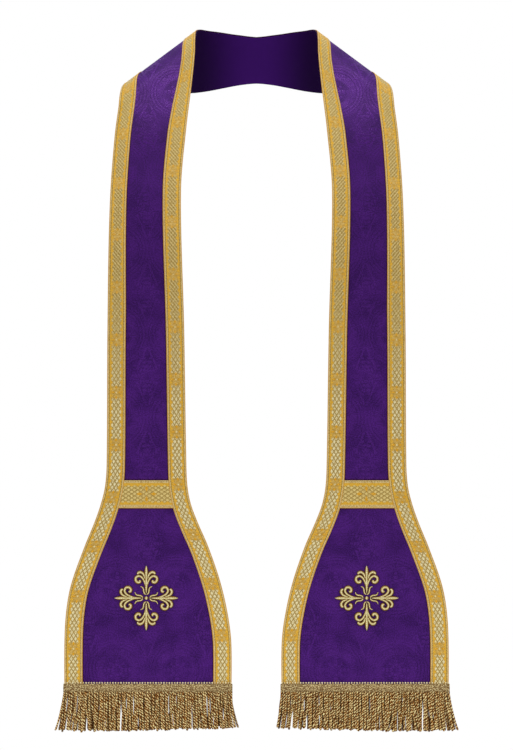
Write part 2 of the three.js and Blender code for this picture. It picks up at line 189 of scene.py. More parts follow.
print("nape radius", round(nape.radius, 1), "mm, angle", round(math.degrees(nape.angle), 1))


# %% Edges of the cut
def edge_across(edge, height):
    """The edge's distance across at these heights: a smooth curve through its rows."""
    h, a = edge[:, 0], edge[:, 1]
    before = np.concatenate([[0], np.arange(len(h) - 1)])
    after = np.concatenate([np.arange(1, len(h)), [len(h) - 1]])
    slope = (a[after] - a[before]) / (h[after] - h[before])
    i = np.clip(np.searchsorted(h, height, side="right") - 1, 0, len(h) - 2)
    span = h[i + 1] - h[i]
    t = np.clip((height - h[i]) / span, 0, 1)
    across = a[i] * (1 + 2 * t) * (1 - t) ** 2 + slope[i] * span * t * (1 - t) ** 2
    across += a[i + 1] * t * t * (3 - 2 * t) - slope[i + 1] * span * t * t * (1 - t)
    across += slope[0] * np.minimum(height - h[0], 0) + slope[-1] * np.maximum(height - h[-1], 0)
    return across


def inset_point(edge, height, inset):
    """The edge at these heights, moved square to itself: a positive inset moves it outwards."""
    inset = np.broadcast_to(inset, height.shape)[:, None]
    step = 0.5
    rise = (edge_across(edge, height + step) - edge_across(edge, height - step)) / (2 * step)
    normal = np.stack([np.ones_like(rise), -rise], axis=1)
    normal /= np.linalg.norm(normal, axis=1)[:, None]
    return np.stack([edge_across(edge, height), height], axis=1) + normal * inset


SEARCH = 90                       # how far from the first guess an edge is looked for
HALVINGS = 40


def crossing(point, direction, edge, around, inset=0.0):
    """Where straight lines of the cut cross an edge moved by inset, found by halving a range."""
    square = np.stack([-direction[:, 1], direction[:, 0]], axis=1)
    low, high = around - SEARCH, around + SEARCH
    for _ in range(HALVINGS):
        middle = (low + high) / 2
        above = np.sum((inset_point(edge, middle, inset) - point) * square, axis=1) > 0
        high = np.where(above, middle, high)
        low = np.where(above, low, middle)
    return inset_point(edge, (low + high) / 2, inset)


# %% Rows of the cut
# how many rows each stretch has, from the hem to the nape
HANGING_ROWS = 185
FOOT_FAN_ROWS = 22
RIDGE_ROWS = 26
NAPE_FAN_ROWS = 14
NAPE_ROWS = 20
SHOULDER_FOOT = 735               # the last level row
USUAL_INNER = 85                  # how far across the edges usually lie
USUAL_OUTER = 180


def rows_on(points, directions):
    """Straight rows from the inner edge to the outer one, as two arrays of flat points."""
    slope = directions[:, 1] / directions[:, 0]
    ends = []
    for edge, usual in ((INNER_EDGE, USUAL_INNER), (OUTER_EDGE, USUAL_OUTER)):
        around = points[:, 1] + (usual - points[:, 0]) * slope
        ends.append(crossing(points, directions, edge, around))
    return ends


def level_rows(low, high, steps):
    heights = np.linspace(low, high, steps, endpoint=False)
    points = np.stack([np.zeros(steps), heights], axis=1)
    return rows_on(points, np.tile([1.0, 0.0], (steps, 1)))


def bend_rows(bend, past):
    points = bend.start + np.outer(past, bend.ahead)
    return rows_on(points, np.tile(bend.along, (len(past), 1)))


def fan(before, after, steps):
    """Rows that swing from the last of before to the first of after, their ends on the edges."""
    share = np.arange(1, steps) / steps
    ends = []
    for end, edge in ((0, INNER_EDGE), (1, OUTER_EDGE)):
        low, high = before[end][-1, 1], after[end][0, 1]
        heights = low + (high - low) * share
        ends.append(np.stack([edge_across(edge, heights), heights], axis=1))
    return ends


def band_rows():
    """Level rows up the front, then rows that lie along the ridge and along the nape's bend."""
    hanging = level_rows(0, SHOULDER_FOOT, HANGING_ROWS)
    foot = level_rows(SHOULDER_FOOT, SHOULDER_FOOT + 1, 1)
    over_ridge = bend_rows(ridge, np.linspace(0, ridge.length, RIDGE_ROWS))
    past_nape = np.linspace(0, nape.length, NAPE_ROWS)
    over_nape = bend_rows(nape, np.append(past_nape, nape.length + NAPE_FLAT))
    blocks = [hanging, foot, fan(foot, over_ridge, FOOT_FAN_ROWS), over_ridge]
    blocks += [fan(over_ridge, over_nape, NAPE_FAN_ROWS), over_nape]
    return [np.concatenate([block[end] for block in blocks]) for end in (0, 1)]


ROWS = band_rows()
print("rows from hem to nape:", len(ROWS[0]))


def line_along(edge, inset, rows=ROWS):
    """The points where each row meets the edge moved by inset."""
    direction = rows[1] - rows[0]
    direction = direction / np.linalg.norm(direction, axis=1)[:, None]
    around = rows[0][:, 1] if edge is INNER_EDGE else rows[1][:, 1]
    return crossing(rows[0], direction, edge, around, inset)


INNER_WIDTHS = np.interp(ROWS[0][:, 1], *NECK_BRAID)
OUTER_WIDTHS = np.interp(ROWS[1][:, 1], *SHOULDER_BRAID)

# %% [markdown]
# ## Cloth as a sheet
# A real panel is one flat piece of cloth. Here too it starts as a flat grid with as many squares as
# the shape needs. Its points are moved to the cut and over the bends, its UV map keeps the flat
# millimetres for the weave, and Solidify gives it its thickness. A cloth simulation was the other
# way, but a stiffened stole has no free folds, and its fall is already given by the cut.

# %% One sheet of cloth from a grid
def select_only(obj):
    bpy.ops.object.select_all(action="DESELECT")
    obj.select_set(True)
    bpy.context.view_layer.objects.active = obj


def cloth_grid(name, across_steps, along_steps):
    """A flat grid, with the row and column of each of its points."""
    bpy.ops.object.select_all(action="DESELECT")
    bpy.ops.mesh.primitive_grid_add(x_subdivisions=across_steps, y_subdivisions=along_steps, size=2)
    obj = bpy.context.object
    obj.name = name
    obj.data.name = name
    obj.data.uv_layers.active.name = "cloth"
    place = np.zeros(len(obj.data.vertices) * 3)
    obj.data.vertices.foreach_get("co", place)
    place = place.reshape(-1, 3)
    column = np.rint((place[:, 0] + 1) / 2 * across_steps).astype(int)
    row = np.rint((place[:, 1] + 1) / 2 * along_steps).astype(int)
    return obj, row, column


def set_points(obj, points):
    obj.data.vertices.foreach_set("co", points.ravel())
    obj.data.update()


def write_map(obj, name, pairs):
    """Gives a UV map of this name one pair of values for each point, in millimetres."""
    layer = obj.data.uv_layers.get(name) or obj.data.uv_layers.new(name=name)
    corner = np.zeros(len(obj.data.loops), dtype=int)
    obj.data.loops.foreach_get("vertex_index", corner)
    layer.data.foreach_set("uv", (pairs[corner] * MM).ravel())


def face_outwards(obj):
    """Turns the faces over if they don't look away from the wearer."""
    lowest = min(obj.data.polygons, key=lambda p: p.center.z)
    if lowest.normal.y > 0:
        select_only(obj)
        bpy.ops.object.mode_set(mode="EDIT")
        bpy.ops.mesh.select_all(action="SELECT")
        bpy.ops.mesh.flip_normals()
        bpy.ops.object.mode_set(mode="OBJECT")


def thicken(obj, wall, bevel=0.0, offset=1, smooth=40):
    """Solidify outwards, or inwards for offset -1, then an optional rounding of the cut edges."""
    select_only(obj)
    solid = obj.modifiers.new("wall", "SOLIDIFY")
    solid.thickness = wall * MM
    solid.offset = offset
    bpy.ops.object.modifier_apply(modifier=solid.name)
    if bevel:
        round_off = obj.modifiers.new("edge", "BEVEL")
        round_off.width = bevel * MM
        round_off.segments = 2
        round_off.limit_method = "ANGLE"
        round_off.angle_limit = math.radians(60)
        bpy.ops.object.modifier_apply(modifier=round_off.name)
    select_only(obj)
    bpy.ops.object.shade_smooth_by_angle(angle=math.radians(smooth))


def sheet_between(
        name, side, from_line, to_line, columns, lift, wall, maps=None, relief=None, bevel=0.0):
    """A strip of cloth between two lines of the cut, on the wearer's side -1 or +1. relief gives
    its height and maps its further UV maps, from the share across, the row and the flat place."""
    obj, row, column = cloth_grid(name, columns, len(from_line) - 1)
    share = column / columns
    flat = from_line[row] * (1 - share)[:, None] + to_line[row] * share[:, None]
    height = np.full(len(flat), float(lift))
    if relief is not None:
        height += relief(share, row, flat)
    set_points(obj, lay(flat, height, side))
    write_map(obj, "cloth", flat)
    for map_name, pairs in (maps or {}).items():
        write_map(obj, map_name, pairs(share, row, flat))
    face_outwards(obj)
    thicken(obj, wall, bevel)
    return obj


SIDES = (("left", -1), ("right", 1))

# %% [markdown]
# ## Shader sums
# A woven pattern is arithmetic on the cloth's own millimetres: repeats, distances and thresholds.
# Written as nodes by hand it is hard to read, so a small class wraps a socket and lets plain Python
# sums make the Math nodes. A second class adds the other nodes, and a third holds one material.


# %% A socket that can be added and multiplied
def sum_of(operation):
    """A method that adds one Math node."""
    def method(self, *others):
        return self.nodes.node("ShaderNodeMath", {"operation": operation}, [self, *others])
    return method


class Value:
    """A socket in plain Python sums."""

    def __init__(self, nodes, socket):
        self.nodes = nodes
        self.socket = socket

    __add__ = sum_of("ADD")
    __radd__ = sum_of("ADD")
    __sub__ = sum_of("SUBTRACT")
    __mul__ = sum_of("MULTIPLY")
    __rmul__ = sum_of("MULTIPLY")
    __truediv__ = sum_of("DIVIDE")
    __abs__ = sum_of("ABSOLUTE")
    __lt__ = sum_of("LESS_THAN")
    sin = sum_of("SINE")
    cos = sum_of("COSINE")
    floor = sum_of("FLOOR")
    low = sum_of("MINIMUM")
    high = sum_of("MAXIMUM")
    root = sum_of("SQRT")
    angle_to = sum_of("ARCTAN2")
    ping_pong = sum_of("PINGPONG")

    def __rsub__(self, other):
        return self * -1.0 + other

    def ribs(self, pitch):
        """A sine wave along the value, from -1 to 1."""
        return (self * (2 * math.pi / pitch)).sin()

    def wave(self, size):
        """Distance to the nearest multiple of size, from 0 to size / 2."""
        return self.ping_pong(size / 2)

    def nearest(self, size):
        """Signed distance to the nearest multiple of size."""
        return self - (self / size + 0.5).floor() * size

    def smooth(self, low, high):
        """0 below low, 1 above high, soft between."""
        return self.nodes.node(
            "ShaderNodeMapRange", {"interpolation_type": "SMOOTHSTEP"},
            {"Value": self, "From Min": low, "From Max": high})


# %% Other nodes
class Nodes:
    """A node tree, and a short way to add nodes to it."""

    def __init__(self, tree):
        self.tree = tree

    def feed(self, socket, value):
        if isinstance(value, Value):
            self.tree.links.new(value.socket, socket)
        else:
            socket.default_value = value

    def node(self, kind, settings=None, inputs=None, output=0):
        made = self.tree.nodes.new(kind)
        for name, setting in (settings or {}).items():
            setattr(made, name, setting)
        pairs = inputs.items() if isinstance(inputs, dict) else enumerate(inputs or [])
        for name, value in pairs:
            self.feed(made.inputs[name], value)
        return Value(self, made.outputs[output])

    def parts(self, vector):
        split = self.tree.nodes.new("ShaderNodeSeparateXYZ")
        self.tree.links.new(vector.socket, split.inputs[0])
        return [Value(self, socket) for socket in split.outputs]

    def uv(self, name="cloth"):
        """A UV map's two values, in millimetres: across and along for the cloth's own map."""
        across, along, _ = self.parts(self.node("ShaderNodeUVMap", {"uv_map": name}))
        return across * 1000.0, along * 1000.0

    def place(self):
        """The point's own place, in millimetres."""
        coordinates = self.node("ShaderNodeTexCoord", output=3)
        return [part * 1000.0 for part in self.parts(coordinates)]

    def vector(self, x, y, z=0.0):
        return self.node("ShaderNodeCombineXYZ", inputs=[x, y, z])

    def noise(self, place, scale, detail=3.0):
        return self.node(
            "ShaderNodeTexNoise", inputs={"Vector": place, "Scale": scale, "Detail": detail})

    def knots(self, place, scale):
        """Distance from the middle of the nearest of many scattered cells."""
        return self.node("ShaderNodeTexVoronoi", inputs={"Vector": place, "Scale": scale})

    def mix(self, share, first, second):
        """A colour between two colours."""
        return self.node(
            "ShaderNodeMix", {"data_type": "RGBA"}, {0: share, 6: first, 7: second}, output=2)


# %% One material
class Finish(Nodes):
    """A material with its one shader."""

    def __init__(self, name):
        self.material = bpy.data.materials.new(name)
        self.material.use_nodes = True
        super().__init__(self.material.node_tree)
        self.shader = self.tree.nodes["Principled BSDF"]

    def set(self, **inputs):
        """Links what varies to the shader, and sets what is the same all over on its sockets."""
        for name, value in inputs.items():
            self.feed(self.shader.inputs[name.replace("_", " ")], value)

    def bump(self, height, distance):
        self.set(Normal=self.node("ShaderNodeBump", inputs={"Height": height, "Distance": distance}))


def colour(red, green, blue):
    """An sRGB colour from 0 to 255 as the linear one that a shader takes."""
    parts = [c / 255 for c in (red, green, blue)]
    return (*[c / 12.92 if c <= 0.04045 else ((c + 0.055) / 1.055) ** 2.4 for c in parts], 1.0)


def band(distance, half, soft=0.6):
    """1 where a distance is under half, with a soft border."""
    return 1 - abs(distance).smooth(half - soft, half + soft)


# %% [markdown]
# ## Purple damask
# Damask shows its figure only by the way its threads lie: ground and figure have one dye, but one is
# a little shinier. The figure here is a common church one: ringed flowers that touch in the middle
# of the band, with leaves and a tuft between them. It is worked out from distances in the flat
# cloth, so it bends with the cloth, where a picture of it would have to be wrapped. It changes
# colour and roughness only a little.

# %% The damask's figure
RING_ACROSS = 78.0
RING_ALONG = 109.0
RING_RADIUS = 37.0
RING_START = 32.0
BAND_MIDDLE = 142.0


def ringed_flower(x, y):
    """A wide ring parted by fine lines, an inner ring, a row of beads and eight petals."""
    radius = (x * x + y * y).root()
    angle = y.angle_to(x)
    lines = band(radius - RING_RADIUS, 0.8)
    for step in (4.2, 8.4):
        lines = lines.high(band(radius - (RING_RADIUS - step), 0.8))
    ring = band(radius - (RING_RADIUS - 4.0), 6.5, 2.0) * (1 - lines) * 0.75
    inner_ring = band(radius - (RING_RADIUS - 15.0), 3.6, 2.4) * 0.8
    beads = band(radius - (RING_RADIUS - 11.0), 1.6) * (angle * 18.0).sin().smooth(-0.2, 0.3)
    petals = 11.0 + (angle * 8.0).cos() * 5.0 + (angle * 4.0).cos() * 3.0
    veins = (radius * 1.2 + (angle * 8.0).cos()).sin().smooth(-0.8, 0.1)
    flower = (1 - (radius - petals).smooth(-0.8, 0.8)) * radius.smooth(3.0, 4.0) * veins
    return ring.high(inner_ring).high(beads).high(flower)


def leaves_and_tuft(x, y):
    """Pointed leaves above and below the place where two rings touch, and a tuft beyond them."""
    leaf = band(x - (y - 14) * 0.42, 1.3) * y.smooth(15, 18) * (1 - y.smooth(40, 43))
    tuft_y = RING_ALONG / 2 - y
    radius = (x * x + tuft_y * tuft_y * 0.6).root()
    fronds = (tuft_y.angle_to(x) * 9.0).cos()
    tuft = (1 - (radius - (14.0 + fronds * 6.0)).smooth(-1.0, 1.0)) * radius.smooth(3.0, 4.5)
    return leaf.high(tuft * (radius * 1.3 + fronds * 2.0).sin().smooth(-0.9, 0.2))


def damask_figure(finish, across, along):
    """The woven figure, 0 for the ground and 1 for the figure. The weave drifts a little."""
    drift = (finish.noise(finish.vector(across, along), 0.06, 1.0) - 0.5) * 2.0
    ring_x = (across - BAND_MIDDLE - RING_ACROSS / 2 + drift).nearest(RING_ACROSS)
    leaf_x = abs((across - BAND_MIDDLE + drift).nearest(RING_ACROSS))
    y = (along - RING_START + drift).nearest(RING_ALONG)
    return ringed_flower(ring_x, y).high(leaves_and_tuft(leaf_x, abs(y)))


# %% Damask finish
SILK_SHEEN = (0.6, 0.24, 1.0, 1.0)
DEEP_PURPLE = colour(34, 10, 54)
WEFT_PITCH = 0.55
WARP_PITCH = 0.42


def damask_finish():
    finish = Finish("damask")
    across, along = finish.uv()
    beside, _ = finish.uv("beside")
    place = finish.vector(across, along)
    worn = finish.noise(place, 0.05)
    figure = damask_figure(finish, across, along) * (0.3 + worn.smooth(0.3, 0.6) * 0.7)
    speck = finish.noise(place, 0.7, 2.0)
    cloud = finish.noise(place, 0.035, 2.0)

    silk = finish.mix(cloud.smooth(0.3, 0.7), colour(45, 15, 76), colour(65, 24, 103))
    # painted sheen: the figure is painted a lighter purple for its shine, and lighter still over the
    # shoulder
    shoulder_sheen = along.smooth(690.0, 800.0)
    silk = finish.mix(figure * (0.42 + shoulder_sheen * 0.38), silk, colour(92, 42, 136))
    silk = finish.mix(speck.smooth(0.44, 0.64) * 0.42, silk, colour(82, 34, 136))
    silk = finish.mix((1 - speck).smooth(0.44, 0.64) * 0.42, silk, DEEP_PURPLE)
    # below the shoulder the panel hangs away from the light and looks a little deeper
    deep = along.smooth(430.0, 530.0) * (1 - along.smooth(730.0, 810.0))
    silk = finish.mix(deep * 0.17, silk, DEEP_PURPLE)
    # painted shadow: the silk is painted dark along each braid's edge, where the braid shades it
    silk = finish.mix((1 - beside.smooth(0.4, 2.2)) * 0.85, silk, colour(44, 6, 18))

    # past the shoulder ridge the silk turns away from the lamp and loses its gloss
    fall = math.radians(RIDGE[1])
    past = across * math.sin(fall) + (along - RIDGE[0]) * math.cos(fall)
    rough = 0.43 + past.smooth(14.0, 32.0) * 0.45 - figure * 0.24 - (speck - 0.5) * 0.1
    finish.set(
        Base_Color=silk, Roughness=rough, Specular_IOR_Level=0.32, Specular_Tint=SILK_SHEEN)
    weave = along.ribs(WEFT_PITCH) * across.ribs(WARP_PITCH)
    finish.bump(weave * 0.3 + figure * 0.9 + speck * 0.4, 0.00005)
    return finish.material


DAMASK = damask_finish()
print("damask nodes:", len(DAMASK.node_tree.nodes))

# %% [markdown]
# ## Satin lining
# The lining is a plain satin, darker than the face and almost smooth, with faint slubs across. They
# are one noise drawn out along the weft, because a noise that is even all round would look like felt.


# %% Lining finish
def lining_finish():
    finish = Finish("lining")
    across, along = finish.uv()
    x, _, z = finish.place()
    slub = finish.noise(finish.vector(across * 0.12, along * 2.2), 1.0)
    satin = finish.mix(slub.smooth(0.3, 0.75), colour(63, 21, 106), colour(71, 24, 118))
    # painted shade: the satin is painted darker towards the sides near the top, in the folds beside
    # the neck
    painted_fold_shade = abs(x).smooth(8.0, 82.0) * z.smooth(-260.0, -120.0)
    satin = finish.mix(painted_fold_shade, satin, colour(32, 6, 57))
    finish.set(Base_Color=satin, Roughness=0.6, Specular_IOR_Level=0.01)
    finish.bump((along + across).ribs(0.5) * 0.2 + slub, 0.00012)
    return finish.material


LINING = lining_finish()
print("lining nodes:", len(LINING.node_tree.nodes))

# %% [markdown]
# ## Gold braid
# Galloon is woven flat on a narrow loom: a pale line along each edge, an orange-gold saw-tooth
# stripe inside it, and a field of small pale lozenges broken by a four-lozenge cross at each repeat.
# The finish reads across and along the braid from its own UV map, so the edge lines follow every
# curve. Strips of plain colour would miss how each thread glints on its own.

# %% Lozenges, slanting threads and crosses of the field
LOZENGE_ACROSS = 5.2
SLANT_PITCH = 5.2
OLIVE = colour(112, 80, 20)
METAL_SHEEN = colour(255, 238, 190)


def lattice(along, across, tooth):
    """0 in the middle of each lozenge and 1 on the lines between them."""
    def from_middle(shift_along, shift_across):
        up = abs((along + shift_along).nearest(tooth)) / (tooth / 2)
        return up + abs((across + shift_across).nearest(LOZENGE_ACROSS)) / (LOZENGE_ACROSS / 2)
    return from_middle(0.0, 0.0).low(from_middle(tooth / 2, LOZENGE_ACROSS / 2))


def slanting_threads(finish, sparkle):
    """Up the band the lozenges flatten into fine slanting threads: how far, and their colour."""
    across, along = finish.uv()
    calm = along.smooth(330, 590)
    rising = (along - across * 1.2).ribs(SLANT_PITCH).smooth(-0.3, 0.95)
    falling = (along + across * 1.2).ribs(SLANT_PITCH).smooth(-0.2, 0.9)
    threads = rising.high(falling * 0.45) * (0.5 + sparkle.smooth(0.35, 0.6) * 0.5)
    threads = threads.high(along.smooth(640, 800) * 0.32)
    return calm, finish.mix(threads, colour(156, 122, 40), colour(232, 208, 138))


def cross_motif(along, middle, net, drift, motif):
    """Where the field is quiet round each cross, the cross's four lozenges, and its heart."""
    every, out_along, out_across, long_half, short_half = motif
    repeat = abs(along.nearest(every))
    aside = abs(middle)
    quiet = 1 - (repeat + net * 2.0).smooth(out_along + 1.8, out_along + 2.8)
    above_and_below = abs(repeat - out_along) / long_half + aside / short_half
    beside = repeat / short_half + abs(aside - out_across) / long_half
    four = 1 - (above_and_below.low(beside) + drift * 0.3).smooth(0.7, 1.15)
    return quiet, four, 1 - (repeat + aside).smooth(0.8, 1.6)


# %% Braid finish
def braid_finish(name, width, tooth, motif, stripe, pale_tone, quiet_share, link_share):
    """A braid's pattern. motif: distance between crosses, the places of their lozenges along and
    across, and their half size. stripe: the pale line's middle and half width, the dark line, and
    where the gold stripe starts and its teeth begin. quiet_share: how plain the field is round a
    cross. link_share: how far the gold stripe is broken by duller links."""
    finish = Finish(name)
    across, along = finish.uv("braid")
    pale_at, pale_half, dark_at, gold_at, teeth_at = stripe
    edge = across.low(width - across)
    middle = across - width / 2
    place = finish.vector(across, along)
    drift = (finish.noise(place, 0.3, 2.0) - 0.5) * 0.9
    glint = finish.noise(place, 1.1, 2.0)
    sparkle = finish.noise(finish.vector(across * 0.7, along), 0.4, 1.0)

    def shimmer(mask, dull, bright):
        return finish.mix(mask, colour(*dull), colour(*bright))

    tan = shimmer(glint.smooth(0.3, 0.7), (168, 134, 48), (206, 174, 98))
    rim_pale = shimmer(sparkle.smooth(0.3, 0.6), (208, 172, 100), (236, 208, 144))
    pale = shimmer(glint.smooth(0.3, 0.65), *pale_tone)
    gold = shimmer(glint.smooth(0.3, 0.65), (210, 152, 16), (240, 188, 56))
    bronze = finish.mix(link_share, gold, colour(200, 158, 72))
    quiet_tone = shimmer(sparkle.smooth(0.35, 0.65), (200, 156, 62), (216, 178, 94))

    # the field of lozenges
    net = lattice(along + drift, middle + drift * 0.6, tooth)
    calm, threads = slanting_threads(finish, sparkle)
    lozenge = (1 - net.smooth(0.55, 0.9)) * (1 - calm * 0.7)
    line = net.smooth(0.78, 1.0) * (1 - calm * 0.7)
    woven = finish.mix(lozenge * (0.35 + sparkle.smooth(0.3, 0.55) * 0.65), tan, pale)
    checks = along.ribs(tooth / 3) * middle.ribs(LOZENGE_ACROSS / 2)
    woven = finish.mix(checks.smooth(0.1, 0.5) * 0.22, woven, OLIVE)
    woven = finish.mix(line * 0.22, woven, OLIVE)
    woven = finish.mix(calm * 0.8, woven, threads)

    # the crosses
    quiet, four, heart = cross_motif(along, middle, net, drift, motif)
    woven = finish.mix(quiet * quiet_share, woven, quiet_tone)
    woven = finish.mix(heart * (0.8 - calm * 0.6), woven, pale)
    woven = finish.mix(four * (1 - calm * 0.4), woven, colour(228, 166, 24))

    # the toothed stripe beside the field, then the lines along the edge
    saw = (along + drift).wave(tooth) / (tooth / 2)
    field = (edge + drift * 0.4 - teeth_at - saw * 2.2).smooth(-0.3, 0.3)
    link = 1 - ((along + drift).wave(tooth / 2) / (tooth / 4)).smooth(0.5, 0.9)
    body = finish.mix(field, finish.mix(link, bronze, gold), woven)
    body = finish.mix(1 - edge.smooth(gold_at - 0.3, gold_at + 0.3), body, tan)
    pale_line = band(edge - pale_at, pale_half, 0.4)
    body = finish.mix(pale_line * 0.9, body, rim_pale)
    dark = band(edge - dark_at, 0.4, 0.3)
    dashes = (along * (2 * math.pi / 3.3) + drift * 5.0).sin().smooth(-1.0, 0.4)
    body = finish.mix(dark * (0.12 + dashes * 0.6), body, OLIVE)
    rim = 1 - edge.smooth(0.6, 1.1)
    body = finish.mix(rim * 0.9, body, colour(222, 164, 76))

    height = lozenge * field * 1.4 - line * 0.5 + pale_line - dark * 0.8 + four * field
    finish.set(
        Base_Color=body, Roughness=0.5 - lozenge * field * 0.14 + (glint - 0.5) * 0.3,
        Specular_IOR_Level=0.6, Specular_Tint=METAL_SHEEN)
    finish.bump(height + along.ribs(0.7) * 0.25 + glint, 0.0003)
    return finish.material


# %% The two braids
WIDE_BRAID_WIDTH = WIDE_BRAID[1] - WIDE_BRAID[0]

BRAID = braid_finish(
    "braid", BRAID_WIDTH, tooth=8.54, motif=(68.3, 6.8, 4.6, 2.9, 1.9),
    stripe=(1.7, 0.6, 2.7, 3.1, 5.0), pale_tone=((224, 204, 142), (255, 246, 200)),
    quiet_share=1.0, link_share=0.5)
# the wide braid has one cross on each end, so its crosses stand further apart than it is long
WIDE = braid_finish(
    "wide_braid", WIDE_BRAID_WIDTH, tooth=7.8, motif=(400.0, 9.2, 7.0, 4.6, 2.3),
    stripe=(2.6, 1.7, 2.5, 4.5, 6.8), pale_tone=((216, 188, 108), (250, 226, 150)),
    quiet_share=0.2, link_share=0.1)
print("braid nodes:", len(BRAID.node_tree.nodes))

# %% [markdown]
# ## The sheets of each half
# Damask on top, lining under it. Both run from hem to nape seam over the same rows, so they lie
# parallel. Near the braids the damask is drawn in a little by the stitching, which shows as a shallow
# uneven dip along each braid's edge. A second map tells the finish how far a point is from the braids.


# %% Give a piece its looks and its body, and hide its node
def finish_piece(obj, material, node):
    """Gives a piece its material and its body, and hides the frame's node that it stands for."""
    obj.data.materials.clear()
    obj.data.materials.append(material)
    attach(obj, BODY)
    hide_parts(node)
    return obj


# %% Where the damask meets the braids
def beside_braids(share, row):
    """How far inside the two side braids, in millimetres."""
    width = np.linalg.norm(ROWS[1] - ROWS[0], axis=1)[row]
    return np.minimum(share * width - INNER_WIDTHS[row], (1 - share) * width - OUTER_WIDTHS[row])


DIP_DEPTH = 0.15
DIP_PLACE = 2.0                   # from the braid's edge
DIP_WIDTH = 2.5


def stitched_dip(share, row, flat):
    """The stitching beside each braid pulls the damask down by a hair, more in some places."""
    uneven = 0.5 + 0.5 * np.sin(flat[:, 1] / 9.0) * np.sin(flat[:, 1] / 23.0 + 1.0)
    dip = np.exp(-((beside_braids(share, row) - DIP_PLACE) / DIP_WIDTH) ** 2)
    return -DIP_DEPTH * dip * (0.4 + uneven)


def beside_map(share, row, flat):
    """How far each point is from the nearest braid, and from the nearest side braid."""
    distance = beside_braids(share, row)
    from_middle = np.abs(flat[:, 1] - WIDE_BRAID[0] - WIDE_BRAID_WIDTH / 2)
    from_wide = np.maximum(from_middle - WIDE_BRAID_WIDTH / 2, 0)
    return np.stack([np.minimum(distance, from_wide), distance], axis=1)


# %% Make damask and lining
def flat_area():
    """The cut's area from its rows, in square metres."""
    corners = np.concatenate([ROWS[0], ROWS[1][::-1]])
    x, y = corners[:, 0], corners[:, 1]
    return abs(np.dot(x, np.roll(y, -1)) - np.dot(y, np.roll(x, -1))) / 2 * MM * MM


LINING_INSET = 1.0
DAMASK_COLUMNS = 80
LINING_COLUMNS = 20

for name, side in SIDES:
    panel = sheet_between(
        f"damask_cloth_{name}", side, ROWS[0], ROWS[1], DAMASK_COLUMNS, LIFT_DAMASK, DAMASK_WALL,
        maps={"beside": beside_map}, relief=stitched_dip)
    finish_piece(panel, DAMASK, f"damask_{name}")
    under = sheet_between(
        f"lining_cloth_{name}", side, line_along(INNER_EDGE, LINING_INSET),
        line_along(OUTER_EDGE, -LINING_INSET), LINING_COLUMNS, 0, LINING_WALL)
    finish_piece(under, LINING, f"lining_{name}")
print("cut area of one half:", round(flat_area(), 4), "square metres")

# %% [markdown]
# ## Braids
# Each side braid is one strip that starts on the cut's edge. It is 23.6 mm wide, and less beside the
# neck and on the shoulder, where a flat braid has to be eased in to follow the turn. Its raised line
# and the groove beside it are real: the grid's columns are lifted in the braid's section. Along it
# the UV map counts real millimetres, measured on the flat cut down the strip's middle.

# %% Strips of braid
SIDE_BRAID_COLUMNS = 24
WIDE_BRAID_COLUMNS = 40
WIDE_BRAID_ROWS = 38
BRAID_BEVEL = 0.25
# raised line and groove of the section: distance from the nearer edge, half width, height
BRAID_RELIEF = ((1.5, 0.7, 0.28), (2.8, 0.5, -0.12))
# where one cross of each braid stands: how far up a side braid, and how far across for the wide one
NECK_BRAID_CROSS = 76.9
SHOULDER_BRAID_CROSS = 59.4
WIDE_BRAID_CROSS = BAND_MIDDLE + 0.8
# past the shoulder the neck braid lies a little inside the cut, so it doesn't show over the nape
NECK_INSET = np.interp(ROWS[0][:, 1], [880, 920], [0.0, 1.4])


def braid_section(share, width):
    """How far the braid stands up across its width: a raised line near each edge, and a groove."""
    edge = np.minimum(share, 1 - share) * width
    return sum(high * np.exp(-((edge - at) / half) ** 2) for at, half, high in BRAID_RELIEF)


def lengthwise(from_line, to_line):
    """How far along the strip each row is, in millimetres down its middle."""
    steps = np.linalg.norm(np.diff((from_line + to_line) / 2, axis=0), axis=1)
    return np.concatenate([[0], np.cumsum(steps)])


def side_braid(name, side, from_line, to_line, cross_at):
    along = lengthwise(from_line, to_line)

    def braid_map(share, row, flat):
        return np.stack([share * BRAID_WIDTH, along[row] - cross_at], axis=1)

    def relief(share, row, flat):
        return braid_section(share, BRAID_WIDTH)
    return sheet_between(
        name, side, from_line, to_line, SIDE_BRAID_COLUMNS, LIFT_TRIM, BRAID_WALL,
        maps={"braid": braid_map}, relief=relief, bevel=BRAID_BEVEL)


def wide_braid(name, side):
    """The braid across the band, between the two side braids."""
    rows = level_rows(*WIDE_BRAID, WIDE_BRAID_ROWS)
    inset = BRAID_WIDTH + 0.1

    def braid_map(share, row, flat):
        return flat[:, ::-1] - (WIDE_BRAID[0], WIDE_BRAID_CROSS)

    def relief(share, row, flat):
        return braid_section((flat[:, 1] - WIDE_BRAID[0]) / WIDE_BRAID_WIDTH, WIDE_BRAID_WIDTH)
    return sheet_between(
        name, side, line_along(INNER_EDGE, inset, rows), line_along(OUTER_EDGE, -inset, rows),
        WIDE_BRAID_COLUMNS, LIFT_TRIM, BRAID_WALL,
        maps={"braid": braid_map}, relief=relief, bevel=BRAID_BEVEL)


# %% Make the braids
trims = {}
for name, side in SIDES:
    inner = side_braid(
        f"neck_braid_{name}", side, line_along(INNER_EDGE, NECK_INSET),
        line_along(INNER_EDGE, INNER_WIDTHS), NECK_BRAID_CROSS)
    outer = side_braid(
        f"shoulder_braid_{name}", side, line_along(OUTER_EDGE, 0.0),
        line_along(OUTER_EDGE, -OUTER_WIDTHS), SHOULDER_BRAID_CROSS)
    across = wide_braid(f"cross_braid_{name}", side)
    finish_piece(inner, BRAID, f"inner_braid_{name}")
    finish_piece(outer, BRAID, f"outer_braid_{name}")
    finish_piece(across, WIDE, f"wide_braid_{name}")
    trims[name] = [inner, outer, across]
print("braid along each edge:", round(float(lengthwise(ROWS[1], ROWS[1])[-1])), "mm at most")

